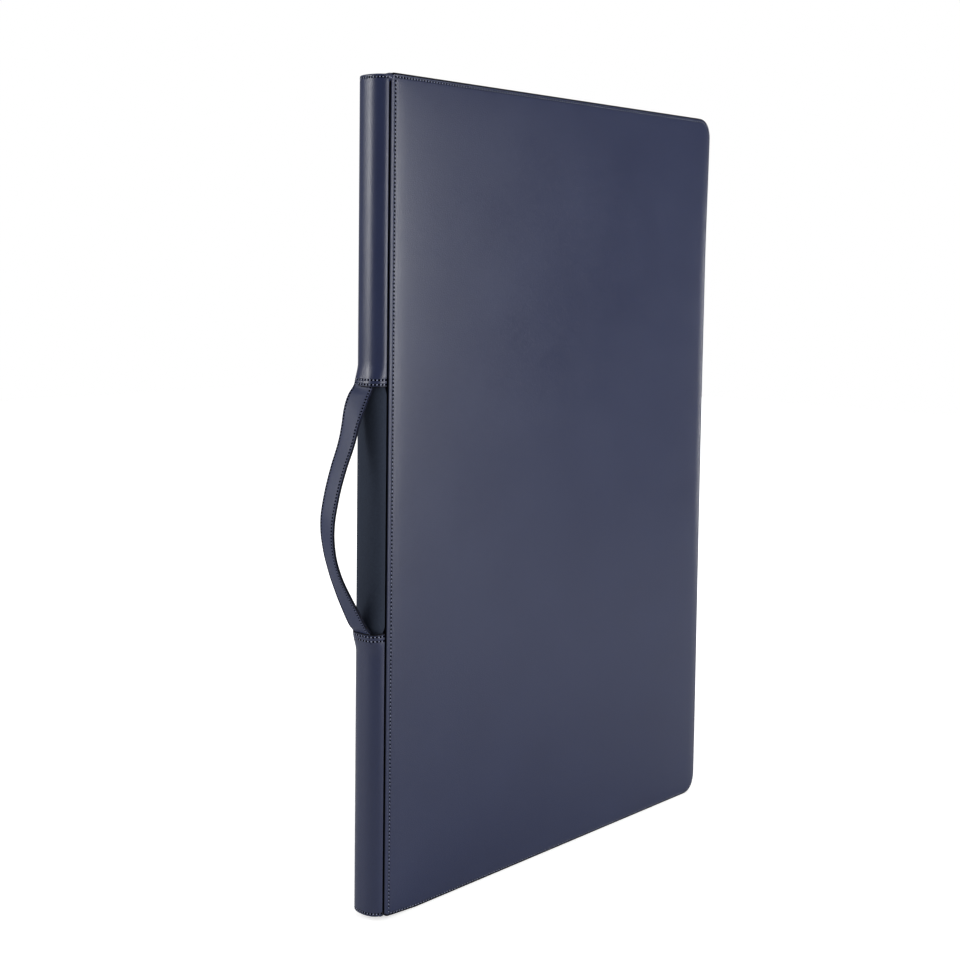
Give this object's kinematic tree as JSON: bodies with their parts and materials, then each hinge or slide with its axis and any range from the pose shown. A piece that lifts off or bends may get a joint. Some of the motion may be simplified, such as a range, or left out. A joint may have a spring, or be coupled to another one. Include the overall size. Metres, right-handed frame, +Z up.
{
  "type": "folding padded training pad",
  "caption": "Tall leather-covered pad of two stiffened, padded leaves that fold on a rounded spine with a strap handle, standing closed on its short edge.",
  "frame": {"origin": "middle of the base of the closed pad, handle included, on the surface that it stands on", "axes": "+Z up along the tall edges, +X across the leaves from the spine to their free edge, -Y out of the front leaf"},
  "size_m": [0.647, 0.044, 0.9],
  "materials": {
    "navy_leather": "smooth corrected grain, satin",
    "lining_leather": "fine grain, matt",
    "foam": "closed-cell foam",
    "board": "raw plywood",
    "webbing": "woven nylon"
  },
  "bodies": {
    "spine": {"spine_upper_sleeve": "navy_leather", "spine_lower_sleeve": "navy_leather", "spine_underlay": "navy_leather", "spine_foam": "foam", "spine_stiffener": "board", "spine_inner_lining": "lining_leather", "front_hinge_leather": "navy_leather", "rear_hinge_leather": "navy_leather", "handle_face": "navy_leather", "handle_webbing": "webbing", "handle_lining": "lining_leather", "handle_upper_backing": "webbing", "handle_lower_backing": "webbing"},
    "front_leaf": {"front_outer_panel": "navy_leather", "front_edge_band": "navy_leather", "front_inner_panel": "lining_leather", "front_pad_foam": "foam", "front_inner_foam": "foam", "front_board": "board"},
    "rear_leaf": {"rear_outer_panel": "navy_leather", "rear_edge_band": "navy_leather", "rear_inner_panel": "lining_leather", "rear_pad_foam": "foam", "rear_inner_foam": "foam", "rear_board": "board"}
  },
  "joints": [
    {"name": "front_leaf_hinge", "type": "hinge", "parent": "spine", "child": "front_leaf", "pos_m": [-0.2565, -0.0175, 0.45], "axis": [0, 0, -1], "range_deg": [0, 90]},
    {"name": "rear_leaf_hinge", "type": "hinge", "parent": "spine", "child": "rear_leaf", "pos_m": [-0.2565, 0.0175, 0.45], "axis": [0, 0, 1], "range_deg": [0, 90]}
  ]
}
